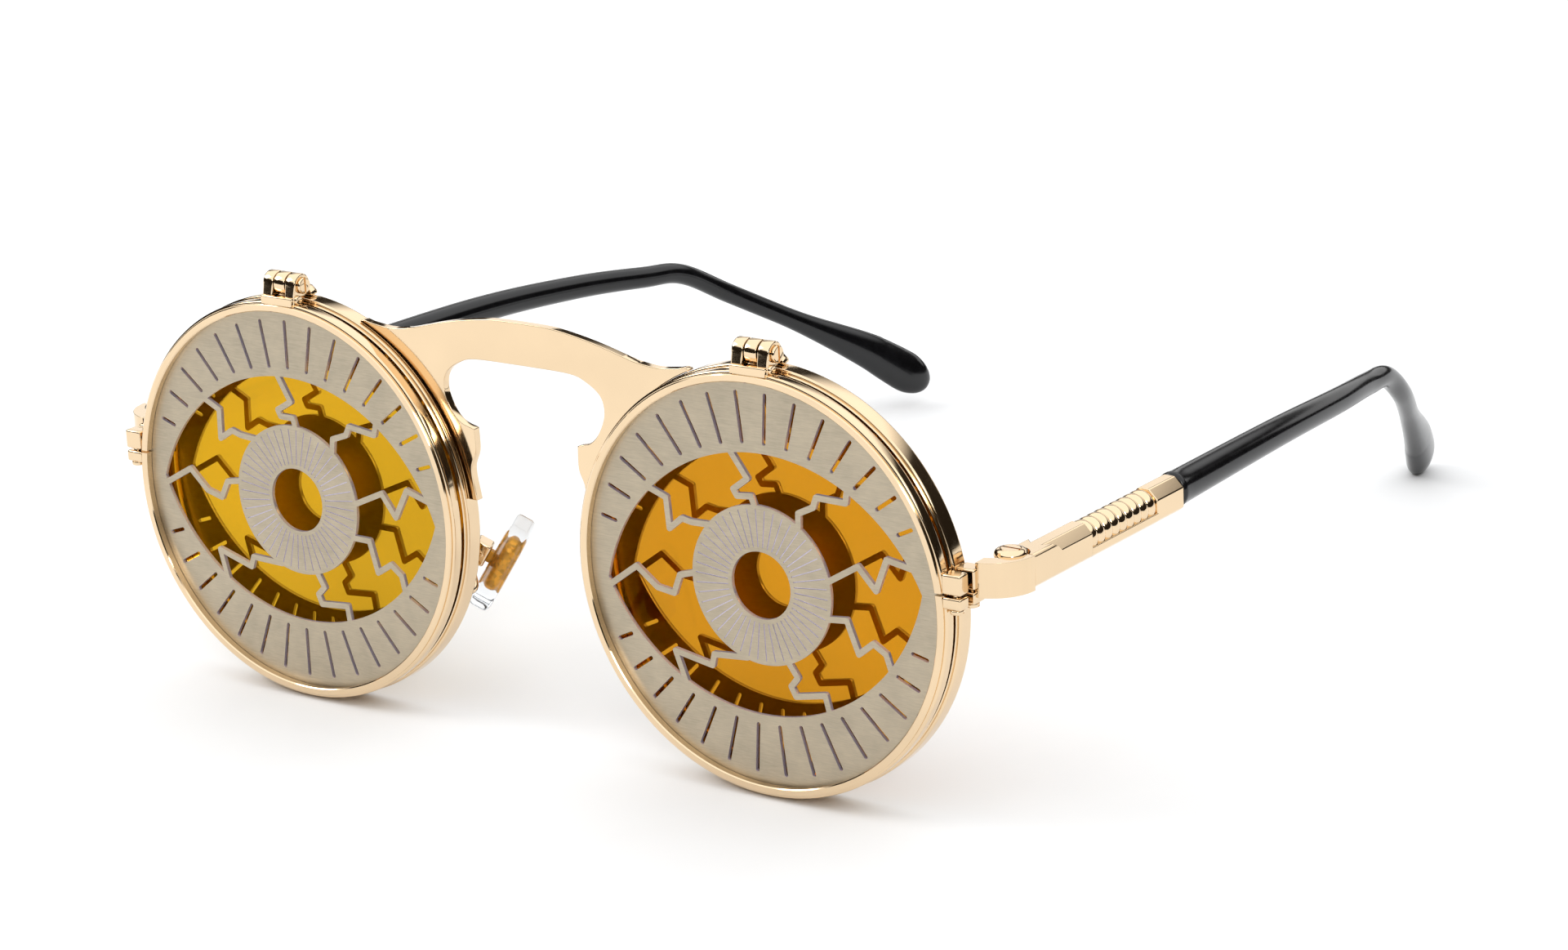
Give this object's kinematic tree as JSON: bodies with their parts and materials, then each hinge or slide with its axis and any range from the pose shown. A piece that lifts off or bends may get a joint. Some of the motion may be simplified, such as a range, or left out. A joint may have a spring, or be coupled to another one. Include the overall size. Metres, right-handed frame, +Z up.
{
  "type": "flip-up sunglasses",
  "caption": "Round-lens flip-up sunglasses: sheet-metal bridge, mirrored lenses, hinged pierced eye plates that flip up, folding temples with black sleeves, and clear nose pads.",
  "frame": {"origin": "on the table, under the middle of the whole outline, with the glasses standing on their rims and temple tips and the temples open", "axes": "+Z is up, +X is the wearer's left, the fronts look along -Y and the temples run back along +Y"},
  "size_m": [0.1384, 0.1422, 0.0558],
  "materials": {
    "gold_plate": "polished light gold plating",
    "brushed_steel_plate": "brushed, fine cross grain, bright cut edges",
    "core_steel": "drawn wire",
    "mirror_lens": "amber mirror coating",
    "sleeve_plastic": "glossy black moulded acetate",
    "pad_silicone": "clear, soft gloss"
  },
  "bodies": {
    "front": {"bridge_plate": "gold_plate", "rim_left": "gold_plate", "rim_screw_left": "gold_plate", "lens_left": "mirror_lens", "end_piece_left": "gold_plate", "temple_screw_left": "gold_plate", "rim_hinge_leaf_left": "gold_plate", "pad_arm_left": "gold_plate", "pad_box_left": "gold_plate", "pad_pin_left": "gold_plate", "rim_right": "gold_plate", "rim_screw_right": "gold_plate", "lens_right": "mirror_lens", "end_piece_right": "gold_plate", "temple_screw_right": "gold_plate", "rim_hinge_leaf_right": "gold_plate", "pad_arm_right": "gold_plate", "pad_box_right": "gold_plate", "pad_pin_right": "gold_plate"},
    "flip_left": {"flip_rim_left": "gold_plate", "eye_plate_left": "brushed_steel_plate", "flip_screw_left": "gold_plate", "flip_hinge_leaf_left": "gold_plate", "flip_hinge_pin_left": "gold_plate"},
    "temple_left": {"temple_arm_left": "gold_plate", "temple_core_left": "core_steel", "temple_sleeve_left": "sleeve_plastic"},
    "pad_left": {"nose_pad_left": "pad_silicone", "pad_insert_left": "gold_plate"},
    "flip_right": {"flip_rim_right": "gold_plate", "eye_plate_right": "brushed_steel_plate", "flip_screw_right": "gold_plate", "flip_hinge_leaf_right": "gold_plate", "flip_hinge_pin_right": "gold_plate"},
    "temple_right": {"temple_arm_right": "gold_plate", "temple_core_right": "core_steel", "temple_sleeve_right": "sleeve_plastic"},
    "pad_right": {"nose_pad_right": "pad_silicone", "pad_insert_right": "gold_plate"}
  },
  "joints": [
    {"name": "flip_left_hinge", "type": "hinge", "parent": "front", "child": "flip_left", "pos_m": [0.0346, -0.06728, 0.05427], "axis": [-1, 0, 0], "range_deg": [0, 90]},
    {"name": "temple_left_hinge", "type": "hinge", "parent": "front", "child": "temple_left", "pos_m": [0.0642, -0.06178, 0.0305], "axis": [0, 0.0297, 0.9996], "range_deg": [0, 84]},
    {"name": "pad_left_rock", "type": "hinge", "parent": "front", "child": "pad_left", "pos_m": [0.01332, -0.05934, 0.01946], "axis": [0.4695, 0.8826, -0.0262], "range_deg": [-8, 8]},
    {"name": "flip_right_hinge", "type": "hinge", "parent": "front", "child": "flip_right", "pos_m": [-0.0366, -0.06728, 0.05427], "axis": [-1, 0, 0], "range_deg": [0, 90]},
    {"name": "temple_right_hinge", "type": "hinge", "parent": "front", "child": "temple_right", "pos_m": [-0.0662, -0.06178, 0.0305], "axis": [0, -0.0297, -0.9996], "range_deg": [-10.3, 60]},
    {"name": "pad_right_rock", "type": "hinge", "parent": "front", "child": "pad_right", "pos_m": [-0.01532, -0.05934, 0.01946], "axis": [-0.4695, 0.8826, -0.0262], "range_deg": [-8, 8]}
  ]
}
